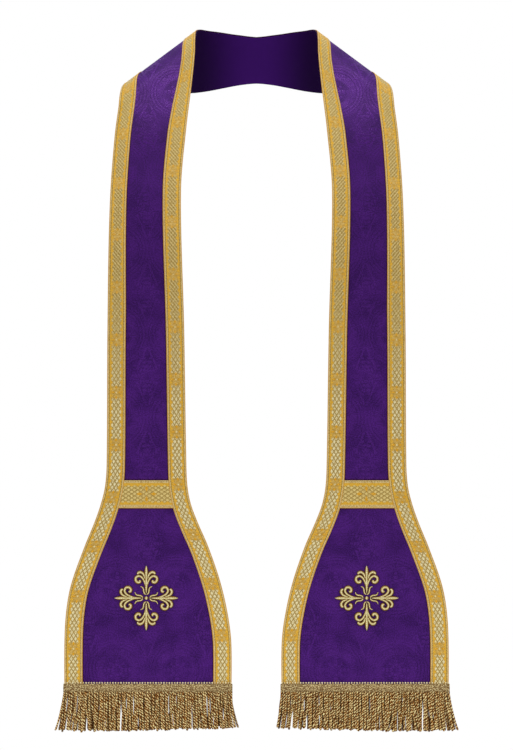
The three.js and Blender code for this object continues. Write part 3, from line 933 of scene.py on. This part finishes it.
# %% [markdown]
# ## The embroidered cross
# Satin stitch lays threads side by side over a little padding, square to the leaf's spine. So each
# leaf is a low dome that follows its spine, fat where the padding is thick, and the bump lines run
# across it. A flat plate with a bump would lose the dome's soft highlights. One arm's leaves are
# listed, and the others are the same leaves turned and mirrored.

# %% Leaves of one arm, in shares of the reach
# places along the spine, widths at foot, middle and tip, height of the dome in mm
ARM_LEAVES = [
    ([(0.012, 0.115), (0.055, 0.14), (0.08, 0.2), (0.09, 0.28), (0.125, 0.335), (0.185, 0.36)],
     (0.03, 0.05, 0.012), 1.5),
    ([(0.02, 0.55), (0.09, 0.735), (0.175, 0.80), (0.25, 0.785), (0.275, 0.735)],
     (0.03, 0.105, 0.06), 2.0),
    ([(0.012, 0.30), (0.04, 0.46), (0.12, 0.62), (0.225, 0.685), (0.32, 0.645), (0.335, 0.555),
      (0.275, 0.49), (0.205, 0.505), (0.205, 0.565)],
     (0.045, 0.1, 0.11), 2.2),
    ([(0, 0.16), (0, 0.34), (0, 0.52), (0, 0.72)], (0.02, 0.105, 0.05), 2.4),
    ([(0, 0.62), (0, 0.74), (0, 0.88), (0, 1.0)], (0.03, 0.125, 0.005), 2.6),
]
CENTRE_LEAF = ([(0, -0.055), (0, 0), (0, 0.055)], (0.0, 0.15, 0.0), 1.5)
CROSS_SQUASH = (0.98, 0.995)      # across, height
LEAF_STEPS = 26
LEAF_COLUMNS = 8
LEAF_BORDER = 0.5                 # in mm on each side, where the leaf slopes down to the cloth, painted near black as its shadow
LEAF_PADDING = 0.25               # in mm, how far its walls reach down
FULL_DOME = 0.045                 # half width, in shares, from which a dome has its full height


def spine_points(places, steps):
    """A smooth curve through the places, with its tangents."""
    places = np.array(places, float)
    padded = np.concatenate([[2 * places[0] - places[1]], places, [2 * places[-1] - places[-2]]])
    t = np.linspace(0, len(places) - 1, steps + 1)
    i = np.minimum(t.astype(int), len(places) - 2)
    f = (t - i)[:, None]
    a, b, c, d = (padded[i + k] for k in range(4))
    point = 0.5 * (2 * b + (c - a) * f + (2 * a - 5 * b + 4 * c - d) * f ** 2
                   + (3 * b - a - 3 * c + d) * f ** 3)
    tangent = np.gradient(point, axis=0)
    return point, tangent / np.linalg.norm(tangent, axis=1)[:, None]


# %% One leaf, then all of them
def leaf_grid(places, widths, dome, turn=0.0, mirror=1):
    """Flat points on the cut, heights of the dome and UVs of one leaf."""
    point, tangent = spine_points(places, LEAF_STEPS)
    t = np.linspace(0, 1, LEAF_STEPS + 1)
    foot, middle, tip = widths
    width = foot * (1 - t) ** 2 + tip * t ** 2 + 2 * t * (1 - t) * (2 * middle - (foot + tip) / 2)
    rounded = np.sqrt(np.clip(1 - (2 * np.clip(t, 0.5, 1) - 1) ** 14, 0, 1))
    half = (width * rounded / 2 + LEAF_BORDER / CROSS_REACH)[:, None]
    share = np.linspace(-1, 1, LEAF_COLUMNS + 1)
    square = np.stack([-tangent[:, 1], tangent[:, 0]], axis=1)
    flat = point[:, None] + square[:, None] * (half * share)[:, :, None]
    flat[..., 0] *= mirror
    cos, sin = math.cos(turn), math.sin(turn)
    flat = flat @ np.array([[cos, sin], [-sin, cos]]) * CROSS_REACH * CROSS_SQUASH + CROSS_PLACE
    lift = dome * np.sqrt(1 - share ** 2) * np.clip(half / FULL_DOME, 0.35, 1.0)
    uv = np.stack(np.broadcast_arrays(share, lengthwise(point, point)[:, None] * CROSS_REACH), axis=2)
    return flat.reshape(-1, 2), lift.ravel(), uv.reshape(-1, 2)


def all_leaves():
    leaves = []
    for quarter in range(4):
        for leaf in ARM_LEAVES:
            on_the_middle = all(x == 0 for x, _ in leaf[0])
            for mirror in (1,) if on_the_middle else (1, -1):
                leaves.append(leaf_grid(*leaf, quarter * math.pi / 2, mirror))
    return leaves + [leaf_grid(*CENTRE_LEAF)]


LEAVES = all_leaves()
print("leaves on each cross:", len(LEAVES))


# %% Lay the leaves on the damask
def mesh_from(name, points, faces):
    mesh = bpy.data.meshes.new(name)
    mesh.from_pydata(points.tolist(), [], faces)
    obj = bpy.data.objects.new(name, mesh)
    bpy.context.collection.objects.link(obj)
    return obj


def copies(faces, size, count):
    """The faces of a model of this many points, for each of its copies in turn."""
    return [[copy * size + point for point in face] for copy in range(count) for face in faces]


def leaf_faces():
    rows, columns = np.meshgrid(np.arange(LEAF_STEPS), np.arange(LEAF_COLUMNS), indexing="ij")
    first = (rows * (LEAF_COLUMNS + 1) + columns).ravel()
    after = first + LEAF_COLUMNS + 1
    return np.stack([first, first + 1, after + 1, after], axis=1).tolist()


def turn_to_front(obj):
    """Leaves that were mirrored look inwards, so each such face is turned over."""
    work = bmesh.new()
    work.from_mesh(obj.data)
    work.normal_update()
    for face in work.faces:
        if face.normal.y > 0:
            face.normal_flip()
    work.to_mesh(obj.data)
    work.free()


def embroidered_cross(name, side):
    flat, lift, uv = (np.concatenate(parts) for parts in zip(*LEAVES))
    faces = copies(leaf_faces(), len(LEAVES[0][0]), len(LEAVES))
    obj = mesh_from(name, lay(flat, lift + LIFT_TRIM, side), faces)
    write_map(obj, "cloth", uv)
    turn_to_front(obj)
    thicken(obj, LEAF_PADDING, offset=-1, smooth=60)
    return obj


# %% Embroidery finish
def embroidery_finish():
    finish = Finish("embroidery")
    across, along = finish.uv()
    aside = abs(across)
    thread = (along * (2 * math.pi / 0.7) + aside * 2.4).sin()
    uneven = finish.noise(finish.vector(across * 1.5, along + across), 1.0, 2.0)
    silk = finish.mix(uneven.smooth(0.35, 0.62), colour(222, 192, 102), colour(255, 254, 202))
    # painted light: each leaf is painted pale along its crest, dark gold towards its sides and a
    # little darker in the grooves between threads, as lit and shaded
    silk = finish.mix(aside.smooth(0.12, 0.58), silk, colour(128, 82, 12))
    silk = finish.mix((1 - thread.smooth(-1.0, -0.3)) * 0.2, silk, colour(130, 98, 42))
    # painted shadow: at its border each leaf slopes down to the cloth, and is painted near black there
    silk = finish.mix(aside.smooth(0.74, 0.88), silk, colour(26, 6, 26))
    finish.set(
        Base_Color=silk, Roughness=0.35, Specular_IOR_Level=0.5, Specular_Tint=METAL_SHEEN)
    finish.bump(thread + uneven, 0.0001)
    return finish.material


EMBROIDERY = embroidery_finish()
for name, side in SIDES:
    cross = embroidered_cross(f"fleury_cross_{name}", side)
    finish_piece(cross, EMBROIDERY, f"cross_{name}")
    trims[name].append(cross)
print("faces of each cross:", len(cross.data.polygons))

# %% [markdown]
# ## Bullion fringe
# Bullion is cord twisted so hard that it hangs in stiff ropes, each doubled back into a round end.
# One cord is modelled once: a small ring, extruded upwards and swelled at its end. Its copies hang
# along their own paths, in three layers, with a few that stray over their neighbours. Bevelled
# curves could make them too, but an extruded ring keeps the faces few. There are a few hundred
# cords, so the twist itself is left to the finish: it knows where each point sits round the cord and
# along it. The heading that holds them is a strip of knots raised in its own grid, with a row of
# thread loops along its top.

# %% Model one cord
CORD_LENGTH = 49.0
CORD_RADIUS = 1.5
CORD_PITCH = 3.3
CORD_LAY = 7.4                    # length of one turn of the twist
CORD_SIDES = 6
# share of the length, and radius there
CORD_RINGS = [(0.0, 0.9), (0.1, 1.0), (0.2, 1.0), (0.32, 1.0), (0.44, 1.0), (0.56, 1.0),
              (0.68, 1.0), (0.8, 1.0), (0.9, 1.02), (0.955, 1.15), (0.985, 1.0), (1.0, 0.5)]


def recalculate_outside(obj):
    """Edit mode's Recalculate Outside, which turns the faces of closed shapes outwards."""
    select_only(obj)
    bpy.ops.object.mode_set(mode="EDIT")
    bpy.ops.mesh.select_all(action="SELECT")
    bpy.ops.mesh.normals_make_consistent(inside=False)
    bpy.ops.object.mode_set(mode="OBJECT")


def take_apart(model):
    """The points and faces of a model that is only there to be copied."""
    points = np.array([v.co[:] for v in model.data.vertices])
    faces = [tuple(p.vertices) for p in model.data.polygons]
    bpy.data.objects.remove(model)
    return points, faces


def plain_cord():
    """A cord of length and radius one along Z, made by extruding a ring."""
    bpy.ops.object.select_all(action="DESELECT")
    bpy.ops.mesh.primitive_circle_add(vertices=CORD_SIDES, radius=CORD_RINGS[0][1], fill_type="NGON")
    cord = bpy.context.object
    bpy.ops.object.mode_set(mode="EDIT")
    bpy.ops.mesh.select_all(action="SELECT")
    for (low, before), (high, after) in zip(CORD_RINGS, CORD_RINGS[1:]):
        bpy.ops.mesh.extrude_region_move(TRANSFORM_OT_translate={"value": (0, 0, high - low)})
        wider = after / before
        bpy.ops.transform.resize(value=(wider, wider, 1), center_override=(0, 0, high))
    bpy.ops.object.mode_set(mode="OBJECT")
    recalculate_outside(cord)
    return take_apart(cord)


cord_points, cord_faces = plain_cord()
print("one cord:", len(cord_points), "points,", len(cord_faces), "faces")

# %% Where the cords hang
FRINGE = (INNER_EDGE[0, 1] - OVERHANG, OUTER_EDGE[0, 1] + OVERHANG)      # its two ends, across
# layers from the back to the front: shift in pitches, depth, share of cords that swing far
CORD_LAYERS = ((0.5, -2.1, 0.1), (0.25, -0.6, 0.3), (0.0, 0.9, 0.15))
SMALL_SWING = 0.9
FAR_SWING = 3.0
STRAYS = 7
STRAY_DEPTH = 2.9
STRAY_SWING = (5, 11)
# how uneven the cords are
PLACE_SPREAD = 0.2
LENGTH_SPREAD = 0.9
DEPTH_SPREAD = 0.4
CURL = 0.6
# how far the tips lean outwards over the whole fringe, and the outermost ones besides
SPLAY = 1.6
END_SPLAY = 4.5
# one more cord swings out at the outer end: its depth and its swing
LAST_CORD = (1.5, 6.0)
# each cord gets a number up to this, and its layer's mark is added, so the finish knows both
TOP_NUMBER = 300
FRONT_MARK = 500
BACK_MARK = -400
# the tips hang lowest here: by how much, where across, and over what width
TIP_SAG = (1.9, 197, 60)


def hung_cords(draw, count):
    """For each cord its place in pitches, its depth and its swing at the tip."""
    hung = []
    for shift, depth, far in CORD_LAYERS:
        for i in range(count + 1):
            swing = draw.normal(0, SMALL_SWING) + draw.normal(0, FAR_SWING) * (draw.random() < far)
            hung.append((min(i + shift, count), depth, swing))
    for _ in range(STRAYS):
        number = draw.uniform(0, count)
        swing = draw.choice([-1, 1]) * draw.uniform(*STRAY_SWING)
        hung.append((number, STRAY_DEPTH, swing))
    return hung + [(count, *LAST_CORD)]


def cord_path(t, place, share, swing, draw, depth):
    """Where a cord's middle runs: across, height and lift at shares t of its length. share is the
    cord's place along the fringe, from -1 to 1, and the outermost cords splay."""
    curl = draw.normal(0, CURL)
    splay = SPLAY * share + END_SPLAY * share ** 7
    across = place + (splay + swing) * t ** 1.5 + curl * np.sin(t * 5.0)
    sag = TIP_SAG[0] * math.cos((place - TIP_SAG[1]) / TIP_SAG[2])
    length = CORD_LENGTH + sag + draw.normal(0, LENGTH_SPREAD)
    height = STRAND_TIP + CORD_LENGTH - length * t
    lift = LIFT_HEADING + HEADING_WALL / 2 + depth + draw.normal(0, DEPTH_SPREAD) * t
    return across, height, lift


# %% Hang the cords
def fringe_cords(name, side, seed):
    draw = np.random.default_rng(seed)
    low, high = FRINGE[0] + CORD_RADIUS, FRINGE[1] - CORD_RADIUS
    count = round((high - low) / CORD_PITCH)
    hung = hung_cords(draw, count)
    round_x, round_y, t = cord_points.T
    girth = np.hypot(round_x, round_y)
    points, hanging = [], []
    for number, depth, swing in hung:
        share = 2 * number / count - 1
        place = low + (high - low) * number / count + draw.normal(0, PLACE_SPREAD)
        across, height, lift = cord_path(t, place, share, swing, draw, depth)
        radius = CORD_RADIUS * draw.uniform(0.9, 1.08)
        flat = np.stack([across + round_x * radius, height], axis=1)
        points.append(lay(flat, lift + round_y * radius, side))
        twist = t * CORD_LENGTH + draw.uniform(0, CORD_LAY)
        which = draw.uniform(0, TOP_NUMBER) + FRONT_MARK * (depth > 0) + BACK_MARK * (depth < -2)
        hanging.append(np.stack([np.full(len(t), which), twist], axis=1))
    obj = mesh_from(name, np.concatenate(points), copies(cord_faces, len(t), len(hung)))
    write_map(obj, "cloth", np.concatenate(hanging))
    turning = np.stack([round_x / girth, round_y / girth], axis=1)
    write_map(obj, "round", np.tile(turning, (len(hung), 1)))
    recalculate_outside(obj)
    bpy.ops.object.shade_smooth_by_angle(angle=math.radians(80))
    return obj


# %% The heading and its loops
HEADING_COLUMNS = 300
HEADING_ROWS = 25
HEADING_CLOTH = 1.6               # its wall under the knots
KNOT_ROW = 5.4
KNOT_PITCH = 2.8
KNOT_SLANT = 0.9
KNOT_RISE = 0.1
LOOP_PITCH = 3.5
LOOP_RADIUS = 0.65
LOOP_THREAD = 0.5
LOOP_LIFT = 1.2                   # above the heading's underside
LOOP_RISE = 0.8                   # above the heading's top


def heading_strip(name, side):
    """A strip of knots in slanting rows, raised in its own grid."""
    heights = np.linspace(*HEADING, HEADING_ROWS, endpoint=False)
    from_line, to_line = [
        np.stack([np.full(HEADING_ROWS, end), heights], axis=1) for end in FRINGE]

    def relief(share, row, flat):
        x, y = flat[:, 0], flat[:, 1]
        course = np.sin(np.pi * y / KNOT_ROW)
        slant = x + KNOT_SLANT * y * np.where(course > 0, 1, -1)
        knots = np.abs(np.sin(np.pi * slant / KNOT_PITCH)) * np.abs(course) ** 0.5
        return KNOT_RISE * knots
    return sheet_between(
        name, side, from_line, to_line, HEADING_COLUMNS, LIFT_HEADING, HEADING_CLOTH,
        relief=relief)


def one_loop():
    """A small ring of thread, flat on the cloth, in millimetres."""
    bpy.ops.object.select_all(action="DESELECT")
    bpy.ops.mesh.primitive_torus_add(
        major_segments=8, minor_segments=5, major_radius=LOOP_RADIUS, minor_radius=LOOP_THREAD)
    return take_apart(bpy.context.object)


def heading_loops(name, side):
    """Small loops stand in a row along the heading's top edge."""
    ring, ring_faces = one_loop()
    low, high = FRINGE
    count = round((high - low) / LOOP_PITCH)
    points = []
    for i in range(count):
        middle = (low + (high - low) * (i + 0.5) / count, HEADING[1] + LOOP_RISE)
        points.append(lay(ring[:, :2] + middle, ring[:, 2] + LIFT_HEADING + LOOP_LIFT, side))
    obj = mesh_from(name, np.concatenate(points), copies(ring_faces, len(ring), count))
    recalculate_outside(obj)
    bpy.ops.object.shade_smooth_by_angle(angle=math.radians(80))
    return obj


# %% Fringe finishes
def cord_finish():
    """Two plies wind round each other: the crests are painted pale as highlights and the grooves dark
    as shade.
    """
    finish = Finish("bullion")
    which, along = finish.uv()
    round_x, round_y = finish.uv("round")
    loose = finish.noise(finish.vector(which, along), 0.12, 1.0) * 7.0
    wind = (along * (0.85 + which.wave(7.0) * 0.1) + loose) * (2 * math.pi / CORD_LAY)
    ply = abs(round_x * wind.cos() + round_y * wind.sin())
    glint = finish.noise(finish.vector(which, along), 0.5, 2.0)
    fleck = finish.noise(finish.vector(which * 3.0, along, round_x), 1.1, 1.0)
    crest = ply * 0.9 + 0.05 + (glint - 0.5) * 0.8 + (fleck - 0.5)
    cord_shade = colour(74, 32, 0)
    tone = finish.mix(which.wave(7.0) / 3.5, colour(162, 97, 20), colour(194, 129, 44))
    # painted light: pale highlights on the ply crests, dark brown shade in the grooves
    gold = finish.mix(crest.smooth(0.3, 0.65), cord_shade, tone)
    gold = finish.mix(crest.smooth(0.66, 0.95), gold, colour(255, 244, 180))
    # painted shade: the cords' sides between neighbours and the layers behind are painted dark
    gold = finish.mix(abs(round_x).smooth(0.6, 0.98) * 0.75, gold, cord_shade)
    gold = finish.mix((which < (TOP_NUMBER + FRONT_MARK) / 2) * 0.45, gold, cord_shade)
    gold = finish.mix((which < 0.0) * 0.6, gold, cord_shade)
    finish.set(Base_Color=gold, Roughness=0.45, Specular_IOR_Level=0.1)
    finish.bump(ply * 1.6, 0.0005)
    return finish.material


def loop_finish():
    finish = Finish("loops")
    across = finish.place()[0]
    thread = finish.mix(across.wave(9.0) / 4.5, colour(214, 186, 126), colour(250, 236, 190))
    finish.set(Base_Color=thread, Roughness=0.5)
    return finish.material


def knotted_finish():
    finish = Finish("fringe_heading")
    across, along = finish.uv()
    slant = finish.vector(across + along * 0.5, along * 0.8 - across * 0.15)
    knot = 1 - finish.knots(slant, 0.6).smooth(0.1, 0.62)
    glint = finish.noise(finish.vector(across, along), 0.8, 1.0)
    # painted light: knots are painted pale and the gaps between them dark brown as shade; random
    # flecks are painted paler as glints, others darker
    thread = finish.mix(knot, colour(112, 76, 22), colour(222, 196, 134))
    thread = finish.mix(glint.smooth(0.52, 0.66) * 0.7, thread, colour(244, 228, 172))
    thread = finish.mix((1 - glint).smooth(0.52, 0.66) * 0.5, thread, colour(116, 92, 56))
    finish.set(Base_Color=thread, Roughness=0.5, Metallic=0.15, Specular_IOR_Level=0.35)
    finish.bump(knot + glint, 0.0003)
    return finish.material


# %% Make the fringe
BULLION = cord_finish()
KNOTTED = knotted_finish()
LOOPS = loop_finish()
SEEDS = {"left": 11, "right": 12}

for name, side in SIDES:
    head = heading_strip(f"fringe_heading_{name}", side)
    loops = heading_loops(f"fringe_loops_{name}", side)
    cords = fringe_cords(f"fringe_cords_{name}", side, SEEDS[name])
    for piece, material in ((head, KNOTTED), (loops, LOOPS), (cords, BULLION)):
        finish_piece(piece, material, f"fringe_{name}")
        trims[name].append(piece)
print("fringe pieces:", [obj.name for obj in trims["left"][4:]])

# %% [markdown]

# %% [markdown]
# ## Studio
# The room is white, and its own light, at a little over half strength, keeps the shadows open. One
# large soft lamp above and before the stole models the domes of the embroidery and the cords. A
# weaker one straight overhead and one behind give the silk its sheen on the shoulders, and two faint
# ones low at the sides reach the fringe. The floor is far below, where a wearer's feet would be, so
# the stole hangs clear of it.

# %% Light
ROOM_LIGHT = 0.6
WHITE = (1.0, 1.0, 1.0, 1.0)
# place, the point it is aimed at, size, power in watts, spread in degrees
LAMPS = [
    ((0, -1.1, 2.4), (0, -0.1, -0.3), 1.0, 33, 180),
    ((0, -0.2, 2.3), (0, -0.05, -0.1), 0.8, 12, 180),
    ((0, 2.4, 0.6), (0, 0.1, -0.3), 1.6, 10, 180),
    ((-1.8, -1.3, -1.15), (0, -0.1, -0.95), 0.6, 0.35, 30),
    ((1.8, -1.3, -1.15), (0, -0.1, -0.95), 0.6, 0.35, 30),
]


def white_room():
    """The room is seen white, and lights the stole with less than that."""
    world = bpy.data.worlds.new("studio")
    bpy.context.scene.world = world
    world.use_nodes = True
    room = Nodes(world.node_tree)
    seen = room.node("ShaderNodeLightPath")
    strength = room.node(
        "ShaderNodeMapRange", inputs={"Value": seen, "To Min": ROOM_LIGHT, "To Max": 1.0})
    background = room.tree.nodes["Background"]
    room.feed(background.inputs["Strength"], strength)
    room.feed(background.inputs["Color"], WHITE)


def soft_lamp(place, aim, size, power, spread):
    bpy.ops.object.light_add(type="AREA", location=place)
    lamp = bpy.context.object
    lamp.data.size = size
    lamp.data.energy = power
    lamp.data.spread = math.radians(spread)
    lamp.rotation_euler = (Vector(aim) - Vector(place)).to_track_quat("-Z", "Y").to_euler()
    lamp.visible_camera = False


white_room()
for lamp in LAMPS:
    soft_lamp(*lamp)
print("lamps:", len(LAMPS))

# %% Floor and camera
FLOOR_RADIUS = 2.4
FLOOR_Z = -1.48
SENSOR = 36
FRAME_HEIGHT = 0.975              # what the camera sees at the fronts
DISTANCE = 5.0                    # from the camera to the fronts
EYE = (0.0, FRONT_Y * MM - DISTANCE, -0.459)

bpy.ops.mesh.primitive_circle_add(
    vertices=96, radius=FLOOR_RADIUS, fill_type="NGON", location=(0, 0, FLOOR_Z))
floor = bpy.context.object
floor.name = "floor"
floor_finish = Finish("floor")
floor_finish.set(Base_Color=(0.93, 0.93, 0.93, 1.0), Roughness=0.9)
floor.data.materials.append(floor_finish.material)

camera_data = bpy.data.cameras.new("camera")
camera_data.sensor_width = SENSOR
camera_data.lens = SENSOR * DISTANCE / FRAME_HEIGHT
camera = bpy.data.objects.new("camera", camera_data)
bpy.context.collection.objects.link(camera)
camera.location = EYE
camera.rotation_euler = (math.pi / 2, 0, 0)
bpy.context.scene.camera = camera
bpy.context.scene.view_settings.view_transform = "Standard"
bpy.context.scene.view_settings.look = "None"
print("lens:", round(camera_data.lens, 1), "mm")
